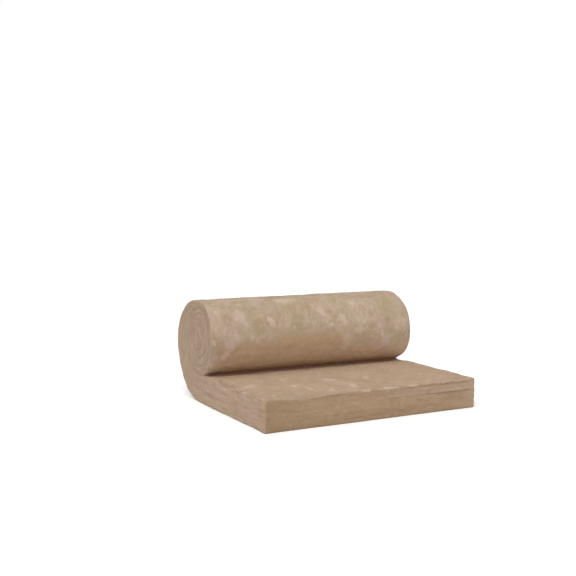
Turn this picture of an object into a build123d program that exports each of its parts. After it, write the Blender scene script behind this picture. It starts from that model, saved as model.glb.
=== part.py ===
from build123d import *
import os

# A roll of glass wool insulation, partly unrolled.
#
# One length of wool blanket. Its cut end and its flat stretch lie on the floor. From there the
# blanket lifts off the floor, goes up behind the roll, over the top and down the front, and winds
# on inwards, pressed thinner with every step. The roll rests on the flat stretch.
#
# Frame: +X along the roll's axis, +Y from the cut end towards the roll, +Z up. The origin is on
# the floor, in the middle of the blanket's footprint. Sizes are in millimetres.

# The blanket
blanket_width = 1200.0
free_thickness = 150.0  # where it lies flat and has sprung back
wound_thickness = 40.0  # one turn, pressed inside the roll
loose_thickness = 140.0  # the outermost turn behind the roll, which has begun to spring back
flat_length = 685.0  # from the cut end to where the underside lifts off the floor
edge_radius = 6.0  # the soft arris at the cut end

# The roll, measured from its axis to the outside of the outermost turn
roll_front = 187.0
roll_back = 237.0
roll_rise = 215.0
roll_drop = 150.0  # down to the top of the flat stretch
axis_setback = 41.0  # the axis lies this far behind the line where the underside lifts off
press_depth = 4.5  # how far the roll's weight sinks it into the flat stretch

# The line between two turns, as it shows on the roll's ends
turns_inside = 3
turn_line_width = 4.0
turn_line_depth = 12.0

# Places in the section, from the cut end and the floor
axis_y = flat_length + axis_setback
axis_z = free_thickness + roll_drop
front_y = axis_y - roll_front
back_y = axis_y + roll_back
top_z = axis_z + roll_rise
footprint_length = back_y

section = Plane(origin=(0, -footprint_length / 2, 0), x_dir=(0, 1, 0), z_dir=(1, 0, 0))


def quarter(centre_y, reach_y, reach_z, start_angle, grow=0.0):
    """A quarter of an ellipse about a point at the height of the roll's axis."""
    return EllipticalCenterArc(
        (centre_y, axis_z), reach_y + grow, reach_z + grow, start_angle, arc_size=90
    )


def quarter_band(centre_y, reach_y, reach_z, start_angle):
    """The band that a turn line leaves along one quarter of an ellipse."""
    half = turn_line_width / 2
    with BuildSketch() as band:
        with BuildLine():
            outside = quarter(centre_y, reach_y, reach_z, start_angle, half)
            inside = quarter(centre_y, reach_y, reach_z, start_angle, -half)
            Line(outside @ 0, inside @ 0)
            Line(outside @ 1, inside @ 1)
        make_face()
    return band.sketch


# The blanket seen from its side: the flat stretch, with the roll standing on its far end
with BuildSketch() as flat_stretch:
    Rectangle(flat_length, free_thickness, align=Align.MIN)
    fillet(flat_stretch.vertices().group_by(Axis.X)[0], edge_radius)

with BuildSketch() as roll:
    with BuildLine():
        lower_back = quarter(flat_length, back_y - flat_length, axis_z, 270)
        quarter(axis_y, roll_back, roll_rise, 0)
        quarter(axis_y, roll_front, roll_rise, 90)
        lower_front = quarter(flat_length, flat_length - front_y, roll_drop + press_depth, 180)
        Line(lower_front @ 1, lower_back @ 0)
    make_face()

# The turn line: from the nip under the roll's front, round behind the roll, and inwards. Its
# groove starts in the open, one line width before the upper edge goes into the roll.
edge_drop = roll_drop - turn_line_width / 2
nip_setback = (flat_length - front_y) * (1 - (edge_drop / (roll_drop + press_depth)) ** 2) ** 0.5
line_front = front_y + wound_thickness
line_back = back_y - loose_thickness
line_top = top_z - wound_thickness
eye_y = (line_front + line_back) / 2

with BuildSketch() as turn_line:
    with Locations((flat_length, free_thickness)):
        groove_length = nip_setback + turn_line_width
        Rectangle(groove_length, turn_line_width, align=(Align.MAX, Align.CENTER))
    bottom_y = flat_length
    for turn in range(turns_inside):
        inset = turn * wound_thickness
        reach_front = eye_y - line_front - inset
        reach_back = line_back - eye_y - inset
        reach_up = line_top - axis_z - inset
        reach_down = roll_drop - inset
        add(quarter_band(bottom_y, line_back - inset - bottom_y, reach_down, 270))
        add(quarter_band(eye_y, reach_back, reach_up, 0))
        add(quarter_band(eye_y, reach_front, reach_up, 90))
        add(quarter_band(eye_y, reach_front, reach_down - wound_thickness, 180))
        bottom_y = eye_y
    # The last fold closes on itself in an upright slit
    with Locations((eye_y, axis_z - reach_down + wound_thickness)):
        slit_height = reach_up + reach_down - 2 * wound_thickness
        Rectangle(turn_line_width, slit_height, align=(Align.CENTER, Align.MIN))

with BuildPart() as wool_blanket:
    with BuildSketch(section.offset(-blanket_width / 2)):
        add(flat_stretch.sketch)
        add(roll.sketch)
    extrude(amount=blanket_width)
    for side in (-1, 1):
        with BuildSketch(section.offset(side * blanket_width / 2)):
            add(turn_line.sketch)
        extrude(amount=-side * turn_line_depth, mode=Mode.SUBTRACT)

wool_blanket.part.label = "wool_blanket"

os.makedirs("parts", exist_ok=True)
export_step(wool_blanket.part, "parts/wool_blanket.step")

print("footprint", footprint_length, "height", top_z, "volume m3", wool_blanket.part.volume / 1e9)
print("centre of mass", wool_blanket.part.center(CenterOf.MASS))
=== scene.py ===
# %% [markdown]
# A blanket of brown glass wool, partly unrolled.
# This notebook dresses a part that was measured and built elsewhere. The frame below holds that
# plain solid, and every piece that is made here stands exactly where the solid stands. All
# lengths are in metres: X runs along the roll's axis, Y from the cut end to the roll, Z up.

import math

import bpy
import numpy as np
from mathutils import Matrix, Vector, noise
from mathutils.bvhtree import BVHTree


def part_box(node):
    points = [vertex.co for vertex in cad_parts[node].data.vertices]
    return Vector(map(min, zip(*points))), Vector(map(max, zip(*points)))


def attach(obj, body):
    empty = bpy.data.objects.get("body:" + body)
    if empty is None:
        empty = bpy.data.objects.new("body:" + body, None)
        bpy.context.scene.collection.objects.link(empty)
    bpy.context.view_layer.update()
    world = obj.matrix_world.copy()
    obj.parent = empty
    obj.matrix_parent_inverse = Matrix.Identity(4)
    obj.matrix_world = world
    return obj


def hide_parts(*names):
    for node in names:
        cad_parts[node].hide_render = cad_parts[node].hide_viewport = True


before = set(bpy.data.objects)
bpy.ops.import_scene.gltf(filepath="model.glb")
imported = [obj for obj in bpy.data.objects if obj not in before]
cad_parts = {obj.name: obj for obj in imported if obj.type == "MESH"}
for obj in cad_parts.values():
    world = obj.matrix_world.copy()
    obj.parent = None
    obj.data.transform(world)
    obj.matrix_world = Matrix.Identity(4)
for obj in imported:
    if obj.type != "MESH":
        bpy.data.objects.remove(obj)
scene = bpy.context.scene
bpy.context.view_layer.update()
low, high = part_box("wool_blanket")
print("blanket from", [round(c, 3) for c in low], "to", [round(c, 3) for c in high])

# %% [markdown]
# The camera comes first, so that every later step can be judged in the right view. It could be
# placed by eye. Here it was worked out from the straight edges and the two round ends in the
# photograph, with the blanket's 1.2 m width as the ruler.

# %% Set the camera
PHOTO_SIDE = 576
focal_pixels = 904.0
camera_place = (-2.483, -3.856, 1.028)
turned_right = math.radians(30.46)
tilted_down = math.radians(5.67)
rolled_left = math.radians(1.20)


def add_object(name, data):
    """An object that shows the data, linked into the scene."""
    made = bpy.data.objects.new(name, data)
    scene.collection.objects.link(made)
    return made


camera_data = bpy.data.cameras.new("photo_camera")
camera_data.sensor_width = 36.0
camera_data.lens = camera_data.sensor_width * focal_pixels / PHOTO_SIDE
camera = add_object("photo_camera", camera_data)
camera.matrix_world = (
    Matrix.Translation(camera_place)
    @ Matrix.Rotation(-turned_right, 4, "Z")
    @ Matrix.Rotation(math.radians(90) - tilted_down, 4, "X")
    @ Matrix.Rotation(rolled_left, 4, "Z")
)
scene.camera = camera
print("lens", round(camera_data.lens, 2), "mm")

# %% [markdown]
# The wool is one strip. Seen from its side it lies flat, lifts off the floor, goes up behind the
# roll, over the top and down the front, and winds on inwards under itself, so the line between
# two turns is one spiral. A spiral formula would be too regular: the roll is squashed where it
# rests and loose behind. So a quarter of an ellipse leads from each of its lowest, rearmost,
# highest and foremost points to the next.

# %% Draw the spiral between the turns
thickness = 0.150
wound_turn = 0.040
loose_turn = 0.140
turns_inside = 3
lift_y = low.y + 0.685  # where the strip lifts off the floor
axis_y = lift_y + 0.041
front_y = axis_y - 0.187
axis_z = thickness + 0.150
press_depth = 0.0045  # how far the foot of the roll's front sinks in
contact_y = lift_y - 0.050  # where the roll's underside meets the flat stretch
eye_y = (front_y + wound_turn + high.y - loose_turn) / 2

OUTSIDE = 4  # quarters before the spiral goes under itself
knots = [(lift_y, low.z), (high.y, axis_z), (axis_y, high.z), (front_y, axis_z)]
for turn in range(turns_inside):
    inset = turn * wound_turn
    knots.append((eye_y if turn else lift_y, thickness + inset))
    knots.append((high.y - loose_turn - inset, axis_z))
    knots.append((eye_y, high.z - wound_turn - inset))
    knots.append((front_y + wound_turn + inset, axis_z))
knots.append((eye_y, thickness + turns_inside * wound_turn))
QUARTERS = len(knots) - 1


def spiral_point(quarter, share):
    """Where the spiral is after a share of one quarter, as (y, z)."""
    (y0, z0), (y1, z1) = knots[quarter], knots[quarter + 1]
    if quarter == OUTSIDE - 1:
        z1 -= press_depth
    angle = share * math.pi / 2
    if quarter % 2 == 0:
        y = y0 + (y1 - y0) * math.sin(angle)
        z = z1 + (z0 - z1) * math.cos(angle)
    else:
        y = y1 + (y0 - y1) * math.cos(angle)
        z = z0 + (z1 - z0) * math.sin(angle)
    return y, z


STEPS = 50  # a quarter's cells along the strip
spiral = [spiral_point(q, i / STEPS) for q in range(QUARTERS) for i in range(STEPS)]
spiral.append(knots[-1])
FRONT_FOOT = (OUTSIDE - 1) * STEPS  # where the spiral starts down the roll's front
nip = next(i for i in range(FRONT_FOOT, len(spiral)) if spiral[i][0] >= contact_y)
for i in range(nip, OUTSIDE * STEPS):
    spiral[i] = (spiral[i][0], thickness)
print("spiral points", len(spiral), "nip at y", round(spiral[nip][0], 4))

# %% [markdown]
# The strip's section is now cut into cells: rungs go through the thickness, from the outer side
# to the inner side, and neighbouring turns share their points, so that the wool is one closed
# skin. Cells lie closer together near a rung's ends, because a soft edge needs them there, and a
# wound turn, which is thin, needs only half as many as the flat stretch.

# %% Put points on both sides of the strip
CELL = 0.007  # a cell's length along the flat stretch
FINE, COARSE = 24, 12  # cells through the thickness, flat and wound
CROWDING = 0.55  # how much closer cells lie near an edge, from 0 to 1
points = []


def crowded(count):
    """count + 1 shares from 0 to 1, closer together near both ends."""
    even = np.linspace(0, 1, count + 1)
    return even - CROWDING * np.sin(2 * np.pi * even) / (2 * np.pi)


def put(y, z):
    """Note a point of the section and give its number."""
    points.append((y, z))
    return len(points) - 1


spiral_ids = [put(y, z) for y, z in spiral]
flat_cells = math.ceil((spiral[nip][0] - low.y) / CELL)
flat_y = low.y + crowded(flat_cells) * (spiral[nip][0] - low.y)
resting_y = [y for y, z in spiral[nip + 1 : OUTSIDE * STEPS]]
under_ids = [put(y, low.z) for y in (*flat_y, *resting_y)] + [spiral_ids[0]]
upper_ids = [put(y, thickness) for y in flat_y[:-1]] + spiral_ids[nip : OUTSIDE * STEPS + 1]

# The innermost turn folds shut on itself along an upright slit
slit_ids = [spiral_ids[-1]]
slit_top = high.z - (turns_inside + 1) * wound_turn
slit_cells = 2 * STEPS
for i in range(1, slit_cells + 1):
    slit_share = i / slit_cells
    slit_ids.append(put(eye_y, knots[-1][1] + (slit_top - knots[-1][1]) * slit_share))
print("points on the strip's two sides", len(points))


# %% Lay the rungs from the cut end to the eye of the roll
def inner_id(step):
    """The point across the strip from a point on the spiral."""
    facing = step + OUTSIDE * STEPS
    if facing < len(spiral):
        return spiral_ids[facing]
    past = facing - len(spiral) + 1
    return slit_ids[min(past, 2 * slit_cells - past)]


sides = list(zip(under_ids, upper_ids))
FIRST_TURN = len(sides) - 1  # the rung where the strip lifts off the floor
sides += [(spiral_ids[i], inner_id(i)) for i in range(1, len(spiral))]
first_wound = FIRST_TURN + 2 * STEPS
rungs, depth_share = [], []
for r, (outer, inner) in enumerate(sides):
    shares = crowded(FINE) if r < first_wound else crowded(FINE)[:: FINE // COARSE]
    (y0, z0), (y1, z1) = points[outer], points[inner]
    if outer == inner:
        rungs.append([outer] * len(shares))
    else:
        between = [put(y0 + (y1 - y0) * d, z0 + (z1 - z0) * d) for d in shares[1:-1]]
        rungs.append([outer, *between, inner])
    depth_share.append(shares)

POINTS = len(points)
section = np.array(points)
middles = np.array([(section[r[0]] + section[r[-1]]) / 2 for r in rungs])
span = np.array([math.dist(section[r[0]], section[r[-1]]) for r in rungs])
along = np.concatenate([[0.0], np.cumsum(np.hypot(*np.diff(middles, axis=0).T))])
print("section points", POINTS, "rungs", len(rungs), "strip length", round(along[-1], 2))

# %% [markdown]
# Wool wears at its edges, and the line between two turns is a groove, so much of what follows
# depends on how far a point lies from either. The distances could be searched for in space. They
# are easier to count along the rungs, which are still at hand here.

# %% Measure how far each point lies from the lines and the edges
FAR = 1.0  # stands for out of reach
depth_of = np.zeros(POINTS)
line_gap = np.full(POINTS, FAR)
edge_gap = np.full(POINTS, FAR)
for r, rung in enumerate(rungs):
    outer_gap = line_gap if r - FIRST_TURN >= nip else edge_gap
    inner_gap = line_gap if r >= flat_cells else edge_gap
    for point, share in zip(rung, depth_share[r]):
        depth_of[point] = share * thickness
        outer_gap[point] = min(outer_gap[point], share * span[r])
        inner_gap[point] = min(inner_gap[point], (1 - share) * span[r])
        edge_gap[point] = min(edge_gap[point], along[r])

rung_points = np.concatenate(rungs)
rung_of = np.repeat(np.arange(len(rungs)), [len(r) for r in rungs])
uses = np.bincount(rung_points, minlength=POINTS)


def over_rungs(values):
    """A value for each rung, carried to its points and averaged where turns share them."""
    return np.bincount(rung_points, values[rung_of], POINTS) / uses


along_of = over_rungs(along)
print("points on a line between turns", int((line_gap == 0).sum()))

# %% [markdown]
# Two flat copies of the section would close the ends like card. On the real roll each turn stands
# a little proud of the next or behind it, and the line between them is a shallow groove that
# comes and goes. Both are distances along X, made from soft noise once for each end. The helpers
# for noise and soft steps serve later shapes too.

# %% Set the turns proud and groove the lines between them
GROOVE_DEPTH = 0.0050
GROOVE_HALF_WIDTH = 0.0040
FAINTEST = 0.12  # the share of the groove's depth that is left where it has nearly gone
PROUD = 0.0035  # how far a turn may stand out or back
SEED_STEP = 17.3  # moves the noise for each seed, so that no two clouds are alike


def cloud(spots, size, seed):
    """Soft noise from -1 to 1 at each spot. size is the grain's length along each direction."""
    scaled = spots / np.asarray(size) + SEED_STEP * seed
    return np.array([noise.noise(Vector(spot)) for spot in scaled])


def relief(spots, bands):
    """Clouds added up, each band given as (height, grain's length, seed)."""
    return sum(height * cloud(spots, size, seed) for height, size, seed in bands)


def rise(values, start, end):
    """0 below start, 1 above end and a smooth rise between them."""
    share = np.clip((values - start) / (end - start), 0, 1)
    return share * share * (3 - 2 * share)


def fading(distance, reach):
    """1 at no distance, falling to about a third over each reach."""
    return np.exp(-distance / reach)


flat_section = np.column_stack([np.zeros(POINTS), section])
rung_spots = np.column_stack([along, 0 * along, 0 * along])
out_at_end = {}
for side, seed in ((-1, 21), (1, 31)):
    waver = relief(rung_spots, [(1.0, 0.24, seed), (0.5, 0.07, seed + 1)])
    comes_and_goes = rise(cloud(flat_section, 0.050, seed + 2), -0.20, 0.40)
    depth = GROOVE_DEPTH * (FAINTEST + (1 - FAINTEST) * comes_and_goes)
    out_at_end[side] = PROUD * over_rungs(waver) - depth * fading(line_gap, GROOVE_HALF_WIDTH)

# In the photograph the right end bulges at mid height and draws in again at the crown, tucks in
# under the roll, and flares a little towards the cut end
BULGE, TUCK, FLARE = 0.009, 0.014, 0.006
CROWN_PULL = 1.9  # how strongly the crown draws in, for each bulge
section_y, section_z = section.T
bulged = rise(section_z, 0.155, 0.210) - CROWN_PULL * rise(section_z, 0.420, high.z)
tucked = (section_z > thickness + 0.0005) * (1 - rise(section_z, 0.155, 0.185))
tucked *= 1 - rise(section_y, contact_y + 0.02, contact_y + 0.10)
flared = (section_z <= thickness) * (1 - rise(section_y, low.y, contact_y))
out_at_end[1] += BULGE * bulged - TUCK * tucked + FLARE * flared
print("ends reach from", round(1000 * min(o.min() for o in out_at_end.values()), 1), "to",
      round(1000 * max(o.max() for o in out_at_end.values()), 1), "mm")

# %% [markdown]
# Now the blanket itself. An extruded curve with modifiers would leave no say in where its cells
# lie. Written out point by point, the ends and the skin between them share their border points,
# and the mesh is closed. The narrow dark gap under the roll's front is made here too: the roll is
# held up a little before its resting line, except at its ends, where the wool has sagged shut.

# %% Place the points of the blanket
WIDE = 150  # cells across the blanket's width
GAP_HEIGHT, GAP_AT_ENDS = 0.012, 0.001
GAP_CLOSES_OVER = 0.016  # from its full height to the resting line
GAP_FADES_OVER = 0.050  # from its full height to the blanket's ends
half_width = high.x
column_share = 2 * crowded(WIDE) - 1
above_gap = np.zeros(POINTS, bool)
above_gap[spiral_ids[FRONT_FOOT:nip]] = True


def slice_at(share, ids):
    """Points of the section at a share of the half width, with the gap under the roll open."""
    y, z = section[ids].T
    near_end = fading(half_width * (1 - abs(share)), GAP_FADES_OVER)
    opening = GAP_HEIGHT + (GAP_AT_ENDS - GAP_HEIGHT) * near_end
    lowest = thickness + opening * rise(contact_y - y, 0, GAP_CLOSES_OVER)
    x = share * (half_width + out_at_end[1 if share > 0 else -1][ids])
    return np.column_stack([x, y, np.where(above_gap[ids], np.maximum(z, lowest), z)])


# Once round the section: floor, back, top and front to the nip, then back to the cut end
loop = under_ids[:-1] + spiral_ids[: nip + 1]
loop += upper_ids[flat_cells - 1 :: -1] + rungs[0][-2:0:-1]
loop = np.array(loop)
LOOP = len(loop)
places = [slice_at(-1, np.arange(POINTS)), slice_at(1, np.arange(POINTS))]
places += [slice_at(share, loop) for share in column_share[1:-1]]
places = np.concatenate(places)
x, y, z = places.T  # windows on the places, which follow them as they move
section_of = np.concatenate([np.arange(POINTS)] * 2 + [loop] * (WIDE - 1))
print("skin", LOOP, "by", WIDE, "cells, points in all", len(places))

# %% [markdown]
# Each face corner keeps its place in the blanket, as (along, across, deep), which the finish is
# drawn in. It belongs to the corner and not to the point, because two turns that share a point
# are far apart in the blanket. Each face also notes whether it is skin, a side edge or the end
# where the blanket was cut across.

# %% Join the points of the two ends
SKIN, SIDE_EDGE, CUT_END = 0.0, 0.5, 1.0
faces, corner_place, face_kind = [], [], []
for r in range(len(rungs) - 1):
    fewer = (len(rungs[r]) - 1) // (len(rungs[r + 1]) - 1)
    for k in range(len(rungs[r + 1]) - 1):
        ring = [(r, k * fewer), (r + 1, k), (r + 1, k + 1)]
        ring += [(r, j) for j in range((k + 1) * fewer, k * fewer, -1)]
        corner_of = {}
        for a, b in ring:
            corner_of.setdefault(rungs[a][b], (along[a], depth_share[a][b] * thickness))
        if len(corner_of) < 3:
            continue
        for side in (1, -1):
            kept = list(corner_of.items())[::side]
            faces.append([point + (POINTS if side > 0 else 0) for point, _ in kept])
            corner_place += [(far, side * half_width, deep) for _, (far, deep) in kept]
            face_kind.append(SIDE_EDGE)
print("faces on the ends", len(faces))


# %% Join the skin and the cut end
def skin_id(place, column):
    """The number of the skin's point at a place round the section and a column across."""
    place %= LOOP
    if column == 0:
        return loop[place]
    if column == WIDE:
        return POINTS + loop[place]
    return 2 * POINTS + (column - 1) * LOOP + place


first_cut = LOOP - (len(rungs[0]) - 1)  # the skin places from here on are the cut end's
for place in range(LOOP):
    for column in range(WIDE):
        ring = [(place, column), (place + 1, column), (place + 1, column + 1), (place, column + 1)]
        faces.append([skin_id(a, b) for a, b in ring])
        for a, b in ring:
            point = loop[a % LOOP]
            corner_place.append((along_of[point], column_share[b] * half_width, depth_of[point]))
        face_kind.append(CUT_END if place >= first_cut else SKIN)

wool_mesh = bpy.data.meshes.new("wool_mat")
wool_mesh.from_pydata(places.tolist(), [], faces)
print("faces", len(faces), "triangles", sum(len(f) - 2 for f in faces))

# %% [markdown]
# The roll is light, but so soft that it presses a shallow trough into the stretch that it rests
# on and sinks with it. The stretch dips a little more just before it, and the roll is slightly
# fuller at its right end. A lattice could bend the mesh so. Smooth pushes do the same in a few
# lines, each one strongest at one place and fading round it.

# %% Press the roll into the flat stretch
TROUGH_DEPTH, TROUGH_REACH = 0.005, 0.10
TROUGH_GONE = 0.33  # the height above which the roll keeps its shape
DIP_DEPTH, DIP_REACH = 0.005, 0.032
FULLER_AT_RIGHT, FULL_FROM = 0.008, 0.45  # how much, and the height above which it is all there


def near(values, middle, reach):
    """1 at the middle, fading softly on both sides of it."""
    return np.exp(-(((values - middle) / reach) ** 2))


from_side = half_width - np.abs(x)
pressed = near(y, contact_y, TROUGH_REACH) * (1 - rise(z, thickness, TROUGH_GONE))
z -= TROUGH_DEPTH * pressed * np.clip(z / thickness, 0, 1)
dipped = near(y, contact_y - DIP_REACH, DIP_REACH) * (y < contact_y) * (z <= thickness)
dipped *= 1 - fading(from_side.clip(0), GAP_FADES_OVER)
z -= DIP_DEPTH * dipped * np.clip(z / thickness, 0, 1)
z *= 1 + FULLER_AT_RIGHT * x / half_width * rise(z, thickness, FULL_FROM)
print("roll pressed in by", round(1000 * TROUGH_DEPTH, 1), "mm")

# %% [markdown]
# The edges come out sharp, as from a saw. Wool gives: its edges are rounded, more at the sides
# than at the cut end, and less on the floor. A bevel would round them all alike. Averaging each
# point with its neighbours, over and over but only near the edges, rounds them as wear does. So
# first each point's distance to the nearest edge says how soft the wool is there.

# %% Find out how soft each point is
SIDE_SOFTNESS, ROLL_SOFTNESS, CUT_SOFTNESS = 0.016, 0.009, 0.0045
FLOOR_SHARE = 0.35  # how much of that softness an edge on the floor keeps
WEAR_REACH = 0.008
ROLL_HEIGHT = 1.2 * thickness  # above it a point belongs to the roll
from_cut = y - low.y
is_end = np.arange(len(places)) < 2 * POINTS
is_cut = (from_cut < 0.0001) & ~is_end
on_flat = along_of[section_of] < contact_y - low.y
to_side = np.where(is_end, edge_gap[section_of], from_side)
to_cut = np.where(on_flat & ~is_end, from_cut, FAR)
to_cut = np.where(is_cut, np.minimum(z - low.z, thickness - z), to_cut)
to_edge = np.minimum(to_side, to_cut)
side_softness = np.where(z > ROLL_HEIGHT, ROLL_SOFTNESS, SIDE_SOFTNESS)
side_softness *= FLOOR_SHARE + (1 - FLOOR_SHARE) * rise(z, 0.01, 0.06)
softness = near(to_side, 0, side_softness) * rise(from_cut, 0.0, 0.03)
softness = np.maximum(softness, near(to_edge, 0, CUT_SOFTNESS))
edge_wear_and_shade = fading(to_edge, WEAR_REACH)
print("soft points", int((softness > 0.1).sum()))

# %% Round the soft edges
SOFTEN_ROUNDS = 26
SOFTEN_SHARE = 0.6  # of the way to the neighbours' mean, in each round
pairs = np.zeros(2 * len(wool_mesh.edges), int)
wool_mesh.edges.foreach_get("vertices", pairs)
first, second = pairs.reshape(-1, 2).T
neighbours = np.bincount(pairs, minlength=len(places))
for _ in range(SOFTEN_ROUNDS):
    mean = np.zeros_like(places)
    for axis in range(3):
        mean[:, axis] += np.bincount(first, places[second, axis], len(places))
        mean[:, axis] += np.bincount(second, places[first, axis], len(places))
    mean /= neighbours[:, None]
    places += SOFTEN_SHARE * softness[:, None] * (mean - places)
print("edges rounded in", SOFTEN_ROUNDS, "rounds")

# %% [markdown]
# The photograph shows one low spot in the cut end's upper edge, near its left corner, and small
# waves in the rest. They are pushed in here: the push fades away from the edge, and also down
# the cut, so that the underside stays on the floor.

# %% Let the cut end slump
SLUMP_X, SLUMP_REACH, SLUMP_DEPTH = -0.42, 0.11, 0.008
SLUMP_FADES_OVER = 0.050
EDGE_WAVES = [(0.004, 0.10, 41), (0.0015, 0.04, 42)]  # height, length, seed
across_only = np.column_stack([x, 0 * x, 0 * x])
slump = SLUMP_DEPTH * near(x, SLUMP_X, SLUMP_REACH)
slump += relief(across_only, EDGE_WAVES)
slump_share = fading(np.maximum(from_cut, 0), SLUMP_FADES_OVER) * on_flat
z -= slump * slump_share * np.clip(z / thickness, 0, 1)
wool_mesh.vertices.foreach_set("co", places.ravel())
wool_mesh.update()
print("the cut end's upper edge slumps by up to", round(1000 * slump.max(), 1), "mm")

# %% [markdown]
# Felted glass wool is never flat. Its skins are lumpy, with shallow creases and small tufts
# where fibres have bunched. Its edges show the layers that it was laid down in, some proud and
# some sunk. A modifier could push the points about, but each face needs its own grain. So each
# point moves along its normal by a height worked out here.

# %% Raise lumps, creases and layers
LUMPS = [(0.0014, 0.17, 1), (0.0011, 0.070, 2), (0.0007, 0.030, 3)]  # height, length, seed
LAYERS = [  # height, length along, across and deep, seed
    (0.0022, (0.26, 0.30, 0.030), 6),
    (0.0016, (0.10, 0.12, 0.013), 7),
    (0.0014, (0.035, 0.035, 0.020), 8),
]
CREASE_HEIGHT, PUFF_HEIGHT, FLAKE_HEIGHT = 0.0010, 0.0022, 0.0060
FLAKES_ON_ROLL = 0.4  # the share of them that the wound part keeps

normals = np.zeros((len(places), 3))
wool_mesh.vertices.foreach_get("normal", normals.ravel())
blanket_place = np.column_stack([along_of[section_of], x, depth_of[section_of]])
layered = is_end | is_cut

creases = 0.35 - np.abs(cloud(blanket_place, (0.050, 0.11, 0.3), 4))
puffs = np.abs(cloud(blanket_place, (0.036, 0.040, 0.3), 5))
skin_relief = CREASE_HEIGHT * creases + PUFF_HEIGHT * (puffs - 0.25)
flakes = 0.3 - np.abs(cloud(blanket_place, (0.060, 0.014, 0.014), 9))
flaky = fading(np.maximum(to_side, 0), 0.020) * np.where(z < ROLL_HEIGHT, 1.0, FLAKES_ON_ROLL)
height = relief(places, LUMPS) + np.where(layered, relief(blanket_place, LAYERS), skin_relief)
height += FLAKE_HEIGHT * flakes * flaky
print("relief from", round(1000 * height.min(), 1), "to", round(1000 * height.max(), 1), "mm")

# %% [markdown]
# Where the wool was cut, its layers have come apart along three lines: two just under the upper
# edge, where a thin lip stands out over a shadow line, and one a third of the way down. They
# could be separate flaps. A groove with a raised rim over it, which comes and goes along the
# edge, gives the same line and keeps the mesh closed.

# %% Part the layers at the cut end
PARTED_LINES = [  # distance under the upper side, from, to, depth of the line
    (0.011, -0.44, -0.14, 0.0035),
    (0.014, 0.10, 0.60, 0.0045),
    (0.057, 0.12, 0.62, 0.0055),
]
LINE_HALF_WIDTH = 0.0045
LINE_WANDERS = 0.004
RIM_ABOVE, RIM_HALF_WIDTH, RIM_HEIGHT = 0.009, 0.0050, 0.0030
THINNEST = 0.45  # the share of its depth that a line keeps where it has nearly closed
under_top = thickness - z - slump * slump_share
groove = np.zeros(len(places))
rim = np.zeros(len(places))
for number, (deep_at, line_from, line_to, line_depth) in enumerate(PARTED_LINES):
    line_deep = deep_at + LINE_WANDERS * cloud(across_only, 0.13, 43 + number)
    share = rise(x, line_from, line_from + 0.12) * rise(line_to - x, 0, 0.06)
    comes_and_goes = rise(cloud(across_only, 0.09, 46 + number), -0.3, 0.3)
    share *= (THINNEST + (1 - THINNEST) * comes_and_goes) * is_cut
    in_line = share * near(under_top, line_deep, LINE_HALF_WIDTH)
    groove = np.maximum(groove, in_line)
    height -= line_depth * in_line
    rim = np.maximum(rim, share * near(under_top, line_deep - RIM_ABOVE, RIM_HALF_WIDTH))
height += RIM_HEIGHT * rim
print("layers parted along", len(PARTED_LINES), "lines")

# %% [markdown]
# Tufts are small pale bunches of fibre. Noise alone would spread them evenly. Real ones are few
# and of all sizes, so those that stand out in the photograph are put where they are seen, each
# as long and as leaning as it is there. So are the darker patches, where the binder is thick, and
# at the roll's lower left a place where the wool curls over, pink, beside a dark crease.

# %% Mark the roll's front as the photograph shows it
on_front = places[~layered & (y < axis_y) & (z > 0.18)]
pale_tuft_and_highlight, olive_patch, pink_curl, dark_crease = np.zeros((4, len(places)))


def bunch(marks, centre, radius, stretch, way, strength):
    """Raise the marks of the points round a centre, further along one way than across it."""
    close = np.flatnonzero(np.abs(places - centre).max(axis=1) < 2.2 * radius * stretch)
    offset = places[close] - centre
    on_way = offset @ (np.asarray(way) / np.linalg.norm(way))
    square = ((offset**2).sum(axis=1) - on_way**2) / radius**2 + (on_way / (radius * stretch)) ** 2
    marks[close] = np.maximum(marks[close], strength * np.exp(-square))


LEVEL = 50.0  # a lean so strong that the mark lies level
pale_on_front = [  # across, height, radius, stretch, lean to the right, strength
    (-0.43, 0.44, 0.042, 1.2, 0.0, 0.90),
    (-0.53, 0.38, 0.060, 1.3, 0.0, 0.50),
    (-0.48, 0.47, 0.020, 1.3, 0.2, 0.65),
    (-0.26, 0.41, 0.021, 2.1, 0.7, 1.00),
    (0.047, 0.437, 0.024, 1.9, 0.5, 1.00),
    (0.178, 0.400, 0.026, 1.7, 0.4, 1.10),
    (0.263, 0.475, 0.026, 1.2, 0.0, 0.85),
    (0.105, 0.372, 0.018, 1.6, 1.5, 0.80),
    (0.42, 0.313, 0.017, 2.6, 0.2, 0.85),
    (0.45, 0.25, 0.070, 1.2, 0.0, 0.66),
    (0.29, 0.380, 0.085, 1.2, LEVEL, 0.65),
    (0.27, 0.342, 0.042, 1.5, LEVEL, 0.70),
    (0.40, 0.345, 0.040, 1.4, LEVEL, 0.60),
    (0.40, 0.41, 0.060, 1.2, 0.0, 0.55),
    (-0.41, 0.40, 0.035, 1.2, 0.0, 0.60),
    (0.05, 0.390, 0.055, 9.0, LEVEL, 0.49),
    (0.18, 0.260, 0.040, 1.3, 0.0, 0.72),
    (-0.16, 0.435, 0.035, 1.2, 0.0, 0.50),
    (-0.14, 0.500, 0.038, 2.4, LEVEL, 0.92),
    (0.37, 0.45, 0.032, 1.8, LEVEL, 0.55),
    (-0.38, 0.34, 0.028, 2.0, 0.8, 0.60),
    (-0.52, 0.465, 0.045, 1.3, LEVEL, 0.55),
    (-0.30, 0.435, 0.030, 1.3, 0.0, 0.55),
    (-0.50, 0.415, 0.035, 1.2, 0.0, 0.52),
]
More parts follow.
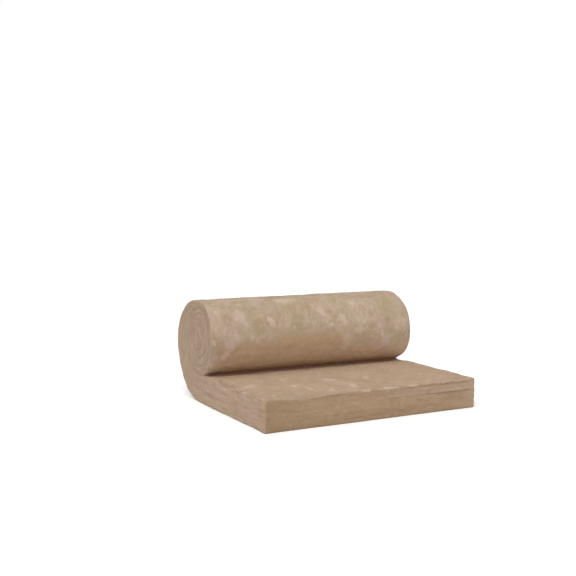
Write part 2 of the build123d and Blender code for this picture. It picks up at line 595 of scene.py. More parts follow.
olive_on_front = [
    (-0.33, 0.385, 0.040, 1.3, 0.3, 0.90),
    (-0.10, 0.405, 0.038, 1.4, 0.0, 1.00),
    (0.325, 0.313, 0.022, 1.3, 0.0, 0.20),
    (-0.38, 0.500, 0.026, 2.6, LEVEL, 0.70),
    (0.37, 0.503, 0.030, 3.0, LEVEL, 0.90),
    (-0.34, 0.47, 0.018, 1.0, 0.0, 0.90),
]
pink_on_front = [
    (-0.500, 0.307, 0.030, 1.3, 0.0, 1.00),
    (-0.565, 0.235, 0.045, 1.5, -0.3, 0.60),
    (-0.524, 0.248, 0.021, 2.8, -0.5, 1.10),
    (0.435, 0.250, 0.034, 1.5, 0.0, 1.00),
]
creases_on_front = [
    (-0.560, 0.272, 0.032, 1.6, -0.1, 0.95),
    (-0.552, 0.240, 0.010, 2.8, -0.3, 1.00),
]
seen_on_front = [(pale_tuft_and_highlight, pale_on_front), (olive_patch, olive_on_front)]
seen_on_front += [(pink_curl, pink_on_front), (dark_crease, creases_on_front)]
for marks, rows in seen_on_front:
    for across, up, radius, stretch, lean, strength in rows:
        closest = np.argmin(np.hypot(on_front[:, 0] - across, on_front[:, 2] - up))
        bunch(marks, on_front[closest], radius, stretch, (lean, 0.0, -1.0), strength)
print("marks on the roll's front", sum(len(rows) for _, rows in seen_on_front))

# %% Mark the flat stretch, its cut edge and the left end
slanting = (0.5, 0.9, 0.0)
seen_on_flat = [  # marks, across, along, radius, stretch, way, strength
    (pale_tuft_and_highlight, -0.333, -0.277, 0.020, 2.0, slanting, 1.00),
    (pale_tuft_and_highlight, -0.293, -0.360, 0.013, 3.6, (0.1, -1.0, 0.0), 0.95),
    (pale_tuft_and_highlight, -0.100, -0.216, 0.035, 1.2, (0.9, -0.3, 0.0), 1.00),
    (pale_tuft_and_highlight, -0.213, -0.416, 0.019, 2.2, slanting, 0.90),
    (pale_tuft_and_highlight, -0.071, -0.381, 0.022, 2.4, slanting, 1.00),
    (pink_curl, -0.071, -0.381, 0.024, 2.2, slanting, 0.80),
    (pale_tuft_and_highlight, 0.102, -0.241, 0.018, 3.0, slanting, 0.80),
    (pale_tuft_and_highlight, -0.300, -0.125, 0.034, 2.0, slanting, 0.60),
    (pale_tuft_and_highlight, -0.530, -0.200, 0.024, 2.5, (1.0, 0.5, 0.0), 0.90),
]
for marks, across, forth, radius, stretch, way, strength in seen_on_flat:
    bunch(marks, (across, forth, thickness), radius, stretch, way, strength)

# Pale lines just under the cut end's upper edge, in the tufts' mark: a painted highlight where thin
# lifted flakes catch the light
EDGE_LINE_HEIGHT, EDGE_LINE_RADIUS = 0.146, 0.0085
highlights_on_cut_edge = [(-0.060, 0.030), (0.070, 0.070), (0.210, 0.035)]  # middle and half length
for across, half_length in highlights_on_cut_edge:
    centre = (across, low.y, EDGE_LINE_HEIGHT)
    stretch = half_length / EDGE_LINE_RADIUS
    bunch(pale_tuft_and_highlight, centre, EDGE_LINE_RADIUS, stretch, (1.0, 0.0, 0.0), 1.00)

seen_on_left_end = [(0.242, 0.477, 0.032, 1.3, 0.0), (0.366, 0.199, 0.022, 3.0, -0.5)]
for forth, up, radius, stretch, lean in seen_on_left_end:
    bunch(olive_patch, (low.x, forth, up), radius, stretch, (0.0, lean, 1.0), 1.00)
print("marks elsewhere", len(seen_on_flat) + len(highlights_on_cut_edge) + len(seen_on_left_end))

# %% [markdown]
# The smaller tufts are too many to place one by one, so a seeded random draw puts them, on the
# skins and on the edges. The photograph doesn't show the back of the roll. It could stay plain,
# but it is the same wool, so tufts and patches like the front's are drawn there too.

# %% Scatter the rest of the tufts
rng = np.random.default_rng(11)
on_skin = np.flatnonzero(~layered & (z > 0.01))
on_edge = np.flatnonzero(layered & (z > 0.01))
RANDOM_TUFTS = [  # where, how many, and from which to which radius, stretch and strength
    (on_skin, 150, (0.006, 0.015), (1.0, 2.2), (0.3, 0.8)),
    (on_edge, 150, (0.004, 0.008), (1.5, 3.0), (0.2, 0.6)),
]
for spots, count, radii, stretches, strengths in RANDOM_TUFTS:
    for centre in places[rng.choice(spots, count)]:
        radius, stretch = rng.uniform(*radii), rng.uniform(*stretches)
        strength = rng.uniform(*strengths)
        bunch(pale_tuft_and_highlight, centre, radius, stretch, rng.normal(size=3), strength)

back_rng = np.random.default_rng(12)
on_back = np.flatnonzero(~layered & (y > axis_y + 0.05) & (z > 0.05))
BACK_MARKS = [(pale_tuft_and_highlight, 24, (0.014, 0.028)), (olive_patch, 12, (0.025, 0.045))]
for marks, count, radii in BACK_MARKS:
    for centre in places[back_rng.choice(on_back, count)]:
        radius, stretch = back_rng.uniform(*radii), back_rng.uniform(1.1, 2.4)
        way = (back_rng.normal(0, 0.4), 0.0, -1.0)
        bunch(marks, centre, radius, stretch, way, back_rng.uniform(0.6, 1.0))
print("scattered tufts", sum(row[1] for row in RANDOM_TUFTS + BACK_MARKS))

# %% Move the points to their heights
TUFT_HEIGHT, CURL_HEIGHT, CREASE_DEPTH = 0.0018, 0.0030, 0.0040
height += TUFT_HEIGHT * pale_tuft_and_highlight + CURL_HEIGHT * pink_curl - CREASE_DEPTH * dark_crease
places += normals * height[:, None]
places[:, 2] = np.maximum(z, low.z)
wool_mesh.vertices.foreach_set("co", places.ravel())
wool_mesh.update()
print("highest point", round(1000 * z.max(), 1), "mm")

# %% [markdown]
# Some tones follow the roll's shape, and they are painted light and shade: a browner painted shade
# low on the roll's front, a lighter, warmer painted bounce light where it turns under, and painted
# shade in the nip and just before it. They could be painted on an image. Here each is worked out
# at every point from its place, and the finish reads it by name.

# %% Mark where the tones change with the roll's shape
# The painted shade low on the roll's front reaches up to this edge
SHADED_ZONE_EDGE = [  # across, and the height up to which the front is browner
    (-0.60, 0.30), (-0.50, 0.31), (-0.44, 0.335), (-0.24, 0.335),
    (-0.20, 0.355), (0.13, 0.35), (0.25, 0.27), (0.60, 0.22),
]
UNDER_FROM = 0.300  # the height under which the roll's front turns down
NIP_REACH, NIP_HEIGHT, NIP_SHADE_REACH = 0.045, 0.03, 0.11
below_roll = (y < contact_y + 0.02) * rise(z, 0.146, 0.156)

# Painted shade: a browner, darker zone low on the roll's front
shaded_zone_top = np.interp(x, *np.array(SHADED_ZONE_EDGE).T) + relief(across_only, [(0.010, 0.09, 71)])
low_front_shade = rise(shaded_zone_top - z, -0.030, 0.060) * below_roll * ~layered
low_front_shade *= (1 - 0.4 * rise(x, 0.10, 0.40)) * (0.40 + 0.60 * rise(x, -0.60, -0.53))
# Painted bounce light: a lighter, warmer tone where the roll's front turns under
under = rise(UNDER_FROM - z, 0.0, 0.11) * below_roll * (1 + 0.6 * rise(x, 0.10, 0.45))
# Painted shade: a dark, ruddy line in the nip, and the roll's painted shadow on the flat stretch just
# before it
in_nip_shadow = near(y, contact_y, NIP_REACH) * near(z, thickness, NIP_HEIGHT)
nip_shade = near(y, contact_y, NIP_SHADE_REACH) * (z < thickness + 0.004)
nip_shade *= (y < contact_y) * (z > 0.9 * thickness)
side_spread = fading(np.maximum(from_side, 0), 0.030) * (z < ROLL_HEIGHT)
flaky *= (z < ROLL_HEIGHT) * rise(from_cut, 0.0, 0.04)
print("points in the browner zone", int((low_front_shade > 0.5).sum()))

# %% Keep the marks on the mesh and hand it over
def keep(mesh, name, kind, domain, values):
    """Store one value or place for each point, corner or face of a mesh."""
    made = mesh.attributes.new(name, kind, domain)
    field = "vector" if kind == "FLOAT_VECTOR" else "value"
    made.data.foreach_set(field, np.asarray(values, dtype=float).ravel())


kept_marks = {
    "pale_tuft_and_highlight": pale_tuft_and_highlight, "olive_patch": olive_patch, "pink_curl": pink_curl,
    "lip_shadow": np.maximum(groove, dark_crease), "lip_rim_highlight": rim, "puff_hollow_shade": puffs,
    "edge_wear_and_shade": edge_wear_and_shade, "side_spread": side_spread, "flaky": flaky,
    "low_front_shade": low_front_shade, "under": under, "in_nip_shadow": in_nip_shadow, "nip_shade": nip_shade,
}
for name, values in kept_marks.items():
    keep(wool_mesh, name, "FLOAT", "POINT", values)
keep(wool_mesh, "blanket_place", "FLOAT_VECTOR", "CORNER", corner_place)
keep(wool_mesh, "face_kind", "FLOAT", "FACE", face_kind)
wool_mesh.shade_smooth()

wool_mat = add_object("wool_mat", wool_mesh)
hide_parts("wool_blanket")
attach(wool_mat, "root")
print("kept", len(kept_marks), "marks and", len(corner_place), "corner places")

# %% [markdown]
# Up close, glass wool is fibres. The felt itself is far too fine to model, but on its surface lie
# loose strands, and along its edges they stick out as fuzz. Particle hair could do this, but the
# part has to be a plain mesh in the end, so each strand is a thin tapered tube with pointed ends.
# First the strands' roots are drawn over the surface, thicker in clumps and along the edges.

# %% Choose where the loose fibres lie
FIBRES = 8000
EVERYWHERE, ALONG_EDGES = 0.25, 2.5  # beside the clumps' share of 1
wool_mesh.calc_loop_triangles()
triangles = np.zeros(3 * len(wool_mesh.loop_triangles), int)
wool_mesh.loop_triangles.foreach_get("vertices", triangles)
triangles = triangles.reshape(-1, 3)
corners = places[triangles]
crossed = np.cross(corners[:, 1] - corners[:, 0], corners[:, 2] - corners[:, 0])
area = np.linalg.norm(crossed, axis=1) / 2
clump = rise(cloud(corners.mean(axis=1), 0.05, 51), -0.4, 0.5)
wear = edge_wear_and_shade[triangles].mean(axis=1)
off_floor = corners[:, :, 2].min(axis=1) > 0.001
weight = area * (EVERYWHERE + clump + ALONG_EDGES * wear) * off_floor
chosen = rng.choice(len(triangles), FIBRES, p=weight / weight.sum())
mix = rng.dirichlet((1, 1, 1), FIBRES)


def at_root(values):
    """A value of the blanket's points, at each fibre's root."""
    return np.einsum("fc,fc...->f...", mix, values[triangles[chosen]])


wool_mesh.vertices.foreach_get("normal", normals.ravel())
root = at_root(places)
outward = at_root(normals)
outward /= np.linalg.norm(outward, axis=1)[:, None]
print("roots", len(root), "within", root.min(axis=0).round(2), root.max(axis=0).round(2))

# %% [markdown]
# Each strand is a gentle arc. On a skin it may point any way along the surface. On an edge it
# follows the layers, and some strands there start inside the wool and point out. The lying ones
# are laid on the real, lumpy surface by looking up its nearest point.

# %% Give each fibre a way, a length and a bend
STRAY = 0.35  # how far a fibre on an edge strays from the layers
heading = np.gradient(middles, axis=0)
heading /= np.linalg.norm(heading, axis=1)[:, None]
layer_way = np.zeros((len(places), 3))
layer_way[:, 1] = over_rungs(heading[:, 0])[section_of]
layer_way[:, 2] = over_rungs(heading[:, 1])[section_of]
layer_way[is_cut] = (1.0, 0.0, 0.0)
follows = at_root(layered.astype(float)) > 0.5
free_way = rng.normal(size=(FIBRES, 3))
fibre_way = np.where(follows[:, None], at_root(layer_way) + STRAY * free_way, free_way)
fibre_way -= outward * (fibre_way * outward).sum(axis=1)[:, None]
fibre_way /= np.linalg.norm(fibre_way, axis=1)[:, None]
side_way = np.cross(outward, fibre_way)

length = rng.uniform(0.012, 0.045, FIBRES)
bend = rng.normal(0, 0.35, FIBRES)
out_chance = np.where(follows, 0.30, 0.06) + 0.35 * at_root(edge_wear_and_shade)
sticks_out = rng.random(FIBRES) < out_chance
length[sticks_out] *= 0.45
out_slope = rng.uniform(0.15, 0.9, FIBRES)
lift = rng.uniform(0.0002, 0.0016, FIBRES)
print("fibres lying", int((~sticks_out).sum()), "sticking out", int(sticks_out.sum()))

# %% Bend each fibre over the surface
RINGS = 4
ROOT_DEPTH = 0.002  # how deep a fibre that sticks out is rooted
ENDS_SUNK = 0.0003  # how far a lying fibre's ends go under the surface
SAG = 0.15
surface = BVHTree.FromPolygons(places.tolist(), triangles.tolist())
line = np.zeros((FIBRES, RINGS + 2, 3))
for k, share in enumerate(np.linspace(0, 1, RINGS + 2)):
    lying = share - 0.5
    flat = root + fibre_way * (length * lying)[:, None]
    flat += side_way * (bend * lying**2 * length)[:, None]
    out = root - ROOT_DEPTH * outward + fibre_way * (length * share)[:, None]
    out += outward * (out_slope * length * share * (1.2 - 0.5 * share))[:, None]
    out += side_way * (bend * share**2 * length)[:, None]
    out[:, 2] -= SAG * length * share**2
    line[:, k] = np.where(sticks_out[:, None], out, flat)
    arch = lift * (1 - (2 * lying) ** 2) - ENDS_SUNK
    for f in np.flatnonzero(~sticks_out):
        spot, normal, face, distance = surface.find_nearest(flat[f])
        line[f, k] = np.array(spot) + np.array(normal) * arch[f]
line[:, :, 2] = np.maximum(line[:, :, 2], 0.0005)
print("longest fibre", round(1000 * length.max(), 1), "mm")

# %% Put a three-sided tube round each fibre
SIDES = 3
TAPER = (0.75, 1.0, 0.9, 0.6)  # one for each ring
PER_FIBRE = 2 + SIDES * RINGS
radius = rng.uniform(0.00014, 0.00034, FIBRES)
shell = np.zeros((FIBRES, PER_FIBRE, 3))
shell[:, 0], shell[:, -1] = line[:, 0], line[:, -1]
for k in range(RINGS):
    for c in range(SIDES):
        angle = 2 * math.pi * c / SIDES
        around = outward * math.cos(angle) + side_way * math.sin(angle)
        shell[:, 1 + SIDES * k + c] = line[:, k + 1] + around * (radius * TAPER[k])[:, None]
shell[:, :, 2] = np.maximum(shell[:, :, 2], 0.0)

# The faces of one tube, numbered so that they look outwards
pattern = []
last = 1 + SIDES * (RINGS - 1)
for c in range(SIDES):
    after = (c + 1) % SIDES
    pattern.append((0, 1 + c, 1 + after))
    for a in range(1, last, SIDES):
        pattern.append((a + c, a + SIDES + c, a + SIDES + after, a + after))
    pattern.append((last + c, PER_FIBRE - 1, last + after))
tube_faces = [tuple(f * PER_FIBRE + n for n in face) for f in range(FIBRES) for face in pattern]
fibre_mesh = bpy.data.meshes.new("loose_fibres")
fibre_mesh.from_pydata(shell.reshape(-1, 3).tolist(), [], tube_faces)
fibre_mesh.shade_smooth()
root_place = np.repeat(at_root(blanket_place), PER_FIBRE, axis=0)
keep(fibre_mesh, "blanket_place", "FLOAT_VECTOR", "POINT", root_place)
keep(fibre_mesh, "fibre_tone", "FLOAT", "POINT", np.repeat(rng.random(FIBRES), PER_FIBRE))

loose_fibres = add_object("loose_fibres", fibre_mesh)
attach(loose_fibres, "root")
print("fibre triangles", sum(len(f) - 2 for f in tube_faces))

# %% [markdown]
# The wool's finish. Glass wool with a plant-based binder is brown, and cloudy with it: pale
# pinkish tufts where the fibres are loose, olive and darker brown where the binder is thick. An
# image could hold that, but noise drawn in the blanket's own coordinates works at any distance,
# and turns into thin layers by itself wherever the blanket is cut, because there it runs deep.
# These helpers keep the node trees below short.

# %% Helpers for node trees
def new_finish(mesh, name):
    """A finish on a mesh. What it gives back is the tree that the helpers build in."""
    made = bpy.data.materials.new(name)
    made.use_nodes = True
    mesh.materials.append(made)
    return made.node_tree


def set_surface(colour, settings):
    """Give the finish its colour and the settings of its surface."""
    shader = tree.nodes["Principled BSDF"]
    tree.links.new(colour, shader.inputs["Base Color"])
    for name, value in settings.items():
        shader.inputs[name].default_value = value
    return shader


def add_node(kind, settings=None, **inputs):
    """A node, with its settings, and its inputs set to values or linked to sockets."""
    made = tree.nodes.new("ShaderNode" + kind)
    for name, value in (settings or {}).items():
        setattr(made, name, value)
    for name, value in inputs.items():
        numbered = name[0] == "i" and name[1:].isdigit()
        socket = made.inputs[int(name[1:])] if numbered else made.inputs[name]
        if isinstance(value, bpy.types.NodeSocket):
            tree.links.new(value, socket)
        else:
            socket.default_value = value
    return made


def add(one, other):
    return add_node("Math", {"operation": "ADD"}, i0=one, i1=other).outputs[0]


def times(one, other):
    return add_node("Math", {"operation": "MULTIPLY"}, i0=one, i1=other).outputs[0]


def ramp(value, start, end, most=1.0):
    """A smooth share: nothing where the value is at start, and most where it is at end."""
    settings = {"clamp": True, "interpolation_type": "SMOOTHSTEP"}
    return add_node("MapRange", settings, Value=value, i1=start, i2=end, i4=most).outputs[0]


print("node helpers ready")


# %% Helpers for colours, noise and marks
def coats(colour, *more):
    """Tones laid over a colour one after the other, each given as (share, tone)."""
    settings = {"data_type": "RGBA", "clamp_factor": True}
    for share, tone in more:
        under, over = [c if isinstance(c, bpy.types.NodeSocket) else (*c, 1.0) for c in (colour, tone)]
        colour = add_node("Mix", settings, i0=share, i6=under, i7=over).outputs[2]
    return colour


def grain(where, scale, turn=0.0, detail=3.0, rough=0.55):
    """Noise in the blanket's coordinates: turned within the skin, then squeezed by scale."""
    turned = add_node("VectorRotate", {"rotation_type": "Z_AXIS"}, Vector=where, Angle=turn)
    squeezed = add_node("VectorMath", {"operation": "MULTIPLY"}, i0=turned.outputs[0], i1=scale)
    made = add_node("TexNoise", Vector=squeezed.outputs[0], Scale=1.0, Detail=detail, Roughness=rough)
    return made.outputs["Fac"]


def swirled(where, scale, reach):
    """The place in the blanket, pushed about so that what is drawn there swirls."""
    push = add_node("TexNoise", Vector=where, Scale=scale, Detail=2.0).outputs["Color"]
    centred = add_node("VectorMath", {"operation": "SUBTRACT"}, i0=push, i1=(0.5, 0.5, 0.5))
    scaled = add_node("VectorMath", {"operation": "SCALE"}, i0=centred.outputs[0], Scale=reach)
    return add_node("VectorMath", {"operation": "ADD"}, i0=where, i1=scaled.outputs[0]).outputs[0]


def mark(name, output="Fac"):
    """A value that a mesh keeps for its points, corners or faces."""
    return add_node("Attribute", {"attribute_name": name}).outputs[output]


print("colour helpers ready")

# %% [markdown]
# The skin is a patchwork: soft patches about 90 mm across, each with its own lean towards olive,
# pink or brown, and a finer cloudiness over them. The patches come from a smoothed cell pattern,
# because noise alone has no patches, only drifts. Colours are stated as they would look in flat
# light. The side that was rolled inwards, now the flat stretch's upper side, is less pale.

# %% Lay out the patches
OUTSIDE_TONE = (0.455, 0.345, 0.250)
INSIDE_TONE = (0.408, 0.299, 0.210)
PINK_TONE = (0.545, 0.410, 0.325)
OLIVE_TONE = (0.430, 0.332, 0.200)
OLIVE_DARK = (0.375, 0.285, 0.165)
BROWN_TONE = (0.345, 0.225, 0.128)
PATCHES_A_METRE = 11.0
LEAN_SHARE = 0.35  # how much a patch's own lean adds to the drifting noise

tree = new_finish(wool_mesh, "brown_glass_wool")
spot = mark("blanket_place", "Vector")
how_far, across, deep = add_node("SeparateXYZ", Vector=spot).outputs
swirl = swirled(spot, 22.0, 0.035)
fine_swirl = swirled(spot, 90.0, 0.008)
mottle = grain(fine_swirl, (45, 55, 45), 0.3, 4)
flecks = grain(swirl, (13, 22, 8))
olive_drift = grain(swirl, (9, 12, 6), -0.4, 4, 0.60)
pink_drift = grain(swirl, (11, 14, 6), 0.5, 4, 0.60)
brown_drift = grain(swirl, (10, 9, 6), 0.9, 4, 0.60)
cells = add_node("TexVoronoi", {"voronoi_dimensions": "2D", "feature": "SMOOTH_F1"}, Vector=swirl,
                 Scale=PATCHES_A_METRE, Smoothness=1.0)
lean = add_node("SeparateColor", Color=cells.outputs["Color"]).outputs

inner_side = ramp(deep, 0.05, 0.10)
skin = coats(OUTSIDE_TONE, (inner_side, INSIDE_TONE))
drifts = [  # noise, the values from which to which it shows, its share, tone
    (olive_drift, 0.60, 0.85, 0.90, OLIVE_TONE),
    (pink_drift, 0.62, 0.88, 0.85, PINK_TONE),
    (brown_drift, 0.66, 0.92, 0.60, BROWN_TONE),
]
for patch_lean, (drift, start, end, most, tone) in zip(lean, drifts):
    leaning = add(drift, times(patch_lean, LEAN_SHARE))
    skin = coats(skin, (ramp(leaning, start, end, most), tone))
print("patch nodes", len(tree.nodes))

# %% [markdown]
# Over the patches go flecks, and then the tones that the mesh has marks for: the painted shade low
# on the front, a lighter, warmer painted bounce light on the part that turns under, the pink curl,
# and the painted shade before and in the nip. A later coat covers an earlier one, and a fine
# mottle goes over them all.

# %% Lay the skin's coats
LOW_SHADE_TONE = (0.470, 0.315, 0.194)
BOUNCE_LIGHT_TONE = (0.622, 0.441, 0.290)
ROSE_TONE = (0.560, 0.380, 0.305)
NIP_SHADOW_TONE = (0.400, 0.205, 0.110)
NIP_SHADE = (0.290, 0.187, 0.120)
browned = add(mark("low_front_shade"), add(times(mottle, 0.5), times(brown_drift, 0.5)))
curled = add(mark("pink_curl"), times(mottle, 0.8))
flat_shade = add(0.22, ramp(across, 0.15, 0.50, 0.18))
skin = coats(
    skin,
    (ramp(flecks, 0.55, 0.72, 0.55), PINK_TONE),
    (ramp(flecks, 0.44, 0.30, 0.55), OLIVE_DARK),
    (ramp(add(mark("olive_patch"), flecks), 0.75, 1.20, 0.75), OLIVE_DARK),
    # painted shade low on the roll's front
    (ramp(browned, 0.75, 1.35), LOW_SHADE_TONE),
    (times(mark("lip_shadow"), 0.7), BROWN_TONE),
    # painted bounce light where the roll's front turns under
    (times(mark("under"), 0.82), BOUNCE_LIGHT_TONE),
    (ramp(curled, 0.75, 1.15, 0.85), ROSE_TONE),
    # painted shadow on the flat stretch before the nip, then painted shade in the nip
    (times(mark("nip_shade"), 0.72), NIP_SHADE),
    (times(inner_side, flat_shade), BROWN_TONE),
    (times(mark("in_nip_shadow"), 0.9), NIP_SHADOW_TONE),
    (ramp(mottle, 0.52, 0.75, 0.17), PINK_TONE),
    (ramp(mottle, 0.48, 0.25, 0.20), BROWN_TONE),
    # painted shade in the hollows between the puffs
    (ramp(mark("puff_hollow_shade"), 0.12, 0.00, 0.22), BROWN_TONE),
)
print("skin nodes", len(tree.nodes))

# %% [markdown]
# The edges show the blanket's inside. The end that was cut across is darker and more ochre than
# the skins, and the side edges are pinker in the photograph. Both are drawn in layers: noise that
# is drawn out 11 times, and thinner layers 17 times, further along the blanket than it is deep.
# Torn spots break the layers up.

# %% Draw the layers
CUT_TONE = (0.415, 0.279, 0.171)
CUT_PALE = (0.500, 0.363, 0.248)
CUT_DARK = (0.303, 0.196, 0.110)
CUT_OCHRE = (0.370, 0.255, 0.140)
SIDE_TONE = (0.440, 0.307, 0.222)
SIDE_PALE = (0.540, 0.405, 0.315)
SIDE_DARK = (0.330, 0.215, 0.140)
WOUND_SHADE_TONE = (0.330, 0.235, 0.165)
PALE_TUFT = (0.590, 0.460, 0.365)
layers = grain(fine_swirl, (5, 5, 55))
thin_layers = grain(fine_swirl, (14, 14, 240), rough=0.6)
sheets = add(times(layers, 0.65), times(thin_layers, 0.35))
torn_spots = grain(fine_swirl, (30, 30, 55), rough=0.6)


def layered_colour(tone, pale, dark):
    """One tone with pale and dark layers and torn spots in it."""
    return coats(
        tone,
        (ramp(sheets, 0.50, 0.36, 0.80), dark),
        (ramp(sheets, 0.52, 0.66, 0.72), pale),
        (ramp(torn_spots, 0.54, 0.72, 0.65), pale),
        (ramp(torn_spots, 0.46, 0.28, 0.65), dark),
    )


print("layer nodes added, now", len(tree.nodes))

# %% [markdown]
# No edge has one tone from end to end. On the cut end the light falls off to the left and towards
# the floor, painted in as darker tones, and the upper layers are pinker on the right. On the side
# edges the wound part is darker with painted shade, and streaked, and the flat part is flaky.
# Gradients alone would look painted, so the layers show through each of them.

# %% Colour the cut end and the side edges
upper_layers = ramp(add(deep, times(layers, 0.04)), 0.108, 0.122)
low_down = ramp(deep, 0.050, 0.000)
# Painted shade on the cut end below its upper edge, more to the left
cut_shade_share = times(ramp(deep, 0.146, 0.130), ramp(across, 0.10, -0.50, 0.6))
cut_felt = coats(
    layered_colour(CUT_TONE, CUT_PALE, CUT_DARK),
    (ramp(deep, 0.090, 0.000, 0.45), CUT_DARK),
    (times(upper_layers, ramp(across, -0.10, 0.25, 0.50)), SIDE_TONE),
    (ramp(across, 0.00, -0.50, 0.30), CUT_OCHRE),
    (ramp(across, -0.35, -0.60, 0.35), CUT_DARK),
    (ramp(across, 0.40, 0.60, 0.42), CUT_PALE),
    (times(low_down, ramp(across, 0.00, -0.40, 0.36)), CUT_DARK),
    # painted shade near the cut end's edges, most at its left corner
    (times(mark("edge_wear_and_shade"), cut_shade_share), CUT_DARK),
    (times(mark("lip_shadow"), 0.6), CUT_DARK),
    # painted highlight on the rims over the parted lines
    (times(mark("lip_rim_highlight"), ramp(mottle, 0.35, 0.55)), SIDE_PALE),
)

wound = ramp(how_far, 0.80, 1.60)
# Painted shade on the wound part of the side edges
wound_shade_share = add(ramp(how_far, 0.45, 0.90, 0.46), ramp(how_far, 1.50, 2.10, -0.14))
turn_streaks = grain(fine_swirl, (13, 13, 26))
strokes = grain(fine_swirl, (13, 13, 60), 0.25)
side_felt = coats(
    layered_colour(SIDE_TONE, SIDE_PALE, SIDE_DARK),
    (times(low_down, 0.40), CUT_TONE),
    (ramp(olive_drift, 0.52, 0.68, 0.50), OLIVE_TONE),
    # painted shade on the wound part
    (wound_shade_share, WOUND_SHADE_TONE),
    (times(mark("olive_patch"), 0.80), OLIVE_TONE),
    (ramp(how_far, 0.20, 0.00, 0.25), SIDE_DARK),
    (times(wound, ramp(turn_streaks, 0.50, 0.66, 0.50)), SIDE_PALE),
    (times(wound, ramp(turn_streaks, 0.48, 0.34, 0.30)), SIDE_DARK),
    (times(mark("flaky"), ramp(strokes, 0.53, 0.62, 0.80)), PALE_TUFT),
    (times(mark("flaky"), ramp(strokes, 0.47, 0.38, 0.80)), SIDE_DARK),
)
print("edge nodes added, now", len(tree.nodes))

# %% [markdown]
# Each face now gets the colour of its kind. A hard change would look like paint that stops at a
# line. On real wool the side edge's loose fibres fold over onto the skin, so near an edge the
# side's colour spreads in ragged spots. Over it all go the pale tufts, with a painted highlight
# along the cut end's upper edge, and the strands: noise drawn out about ten times longer than
# wide, in two directions that swirl, which reads as felted fibre. The same strands make the bump.

# %% Put skin and edges together
STRAND_DARK = (0.250, 0.160, 0.095)
kind = mark("face_kind")
on_edges = ramp(kind, 0.24, 0.26)
ragged = grain(fine_swirl, (70, 85, 70), 0.6, 4, 0.65)
spread = add(mark("side_spread"), times(grain(fine_swirl, (22, 30, 30), 0.3, 4, 0.6), 1.2))
strands_one = grain(fine_swirl, (40, 420, 420), 0.45, rough=0.6)
strands_two = grain(fine_swirl, (40, 420, 420), 1.95, rough=0.6)
strands = add(times(strands_one, 0.5), times(strands_two, 0.5))
fuzz = grain(spot, (650, 650, 650), 0.0, 2, 0.6)
tuft_and_highlight = add(mark("pale_tuft_and_highlight"), grain(fine_swirl, (40, 60, 40), 0.4))
colour = coats(
    skin,
    (times(mark("edge_wear_and_shade"), ramp(ragged, 0.35, 0.60)), side_felt),
    (ramp(spread, 0.90, 1.25), side_felt),
    (on_edges, side_felt),
    (ramp(kind, 0.74, 0.76), cut_felt),
    # pale tufts, and the painted highlight along the cut end's upper edge
    (ramp(tuft_and_highlight, 0.78, 1.35, 0.80), PALE_TUFT),
    (ramp(strands, 0.52, 0.64, 0.18), PALE_TUFT),
    (ramp(strands, 0.48, 0.38, 0.25), STRAND_DARK),
    (ramp(fuzz, 0.35, 0.70, 0.10), STRAND_DARK),
)
wool_surface = {
    "Roughness": 0.95, "Specular IOR Level": 0.15, "Sheen Weight": 0.10, "Sheen Roughness": 0.6,
    "Sheen Tint": (0.95, 0.82, 0.70, 1.0),
}
shader = set_surface(colour, wool_surface)
bump_height = add(times(strands, 1.1), times(fuzz, 0.25))
bump_height = add(bump_height, times(mottle, 0.9))
bump_height = add(bump_height, times(times(sheets, on_edges), 1.3))
bump = add_node("Bump", Strength=0.7, Distance=0.0040, Height=bump_height)
tree.links.new(bump.outputs[0], shader.inputs["Normal"])
print("wool nodes", len(tree.nodes))

# %% [markdown]
# A loose strand is the same wool, but a single one lets light through and shines a little, so it
# looks paler than the felt. Real transparency would hardly be seen on hairs this thin, so the
# strands are simply paler and glossier, and their tone varies from strand to strand.

# %% Make the loose fibres' finish
FIBRE_PALE = (0.700, 0.570, 0.465)
FIBRE_BROWN = (0.500, 0.370, 0.265)
tree = new_finish(fibre_mesh, "loose_fibre")
patch = grain(mark("blanket_place", "Vector"), (12, 12, 12), 0.0, 2, 0.5)
strand_tones = [(mark("fibre_tone"), FIBRE_PALE), (ramp(patch, 0.40, 0.65, 0.4), PINK_TONE)]
set_surface(coats(FIBRE_BROWN, *strand_tones), {"Roughness": 0.55, "Specular IOR Level": 0.35})
print("fibre nodes", len(tree.nodes))

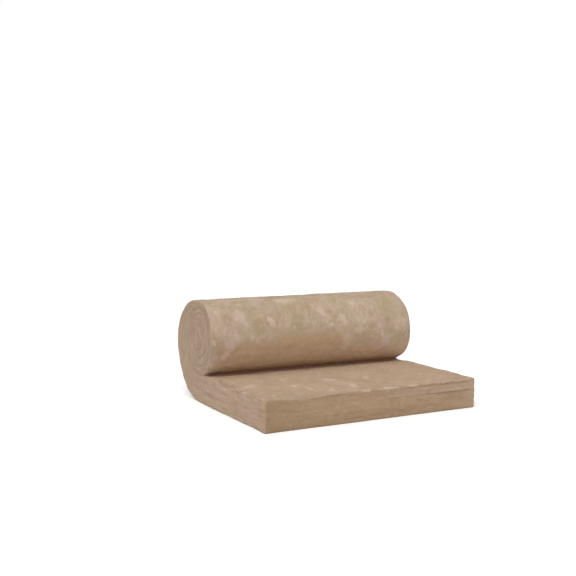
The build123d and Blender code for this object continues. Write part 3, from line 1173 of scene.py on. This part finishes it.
# %% [markdown]
# The studio is plain: a white floor that keeps a soft shadow, one broad lamp from the upper left
# and a little in front, and even light from all round. They are set so that a surface facing
# them shows about the colour that its finish states. What the camera sees of the floor and the
# sky is white: the floor glows a little for the camera alone, and so throws no light on the wool.

# %% Lay the floor
FLOOR_REACH = 12.0
floor_mesh = bpy.data.meshes.new("studio_floor")
floor_corners = [(-1, -1), (1, -1), (1, 1), (-1, 1)]
floor_places = [(FLOOR_REACH * a, FLOOR_REACH * b, 0.0) for a, b in floor_corners]
floor_mesh.from_pydata(floor_places, [], [(0, 1, 2, 3)])
floor = add_object("studio_floor", floor_mesh)

tree = new_finish(floor_mesh, "floor_white")
tree.nodes.remove(tree.nodes["Principled BSDF"])
camera_ray = add_node("LightPath").outputs["Is Camera Ray"]
matte = add_node("BsdfDiffuse", Color=(0.86, 0.86, 0.86, 1.0))
glow = add_node("Emission", Color=(1.0, 1.0, 1.0, 1.0), Strength=0.22)
lit = add_node("AddShader", i0=matte.outputs[0], i1=glow.outputs[0])
shown = add_node("MixShader", i0=camera_ray, i1=matte.outputs[0], i2=lit.outputs[0])
tree.links.new(shown.outputs[0], tree.nodes["Material Output"].inputs["Surface"])
print("floor", 2 * FLOOR_REACH, "m wide")

# %% Hang the lamp and the sky
world = bpy.data.worlds.new("studio_sky")
world.use_nodes = True
scene.world = world
tree = world.node_tree
camera_ray = add_node("LightPath").outputs["Is Camera Ray"]
sky = tree.nodes["Background"]
sky.inputs["Color"].default_value = (1.0, 1.0, 1.0, 1.0)
sky.inputs["Strength"].default_value = 0.64
backdrop = add_node("Background", Color=(1.0, 1.0, 1.0, 1.0), Strength=1.0)
shown = add_node("MixShader", i0=camera_ray, i1=sky.outputs[0], i2=backdrop.outputs[0])
tree.links.new(shown.outputs[0], tree.nodes["World Output"].inputs["Surface"])

key_data = bpy.data.lights.new("key_lamp", "SUN")
key_data.energy = 1.7
key_data.angle = math.radians(50)
key = add_object("key_lamp", key_data)
key_from = Vector((-0.46, -0.40, 0.79))
key.rotation_euler = key_from.to_track_quat("Z", "Y").to_euler()

scene.view_settings.view_transform = "Standard"
print("key lamp from", tuple(key_from))
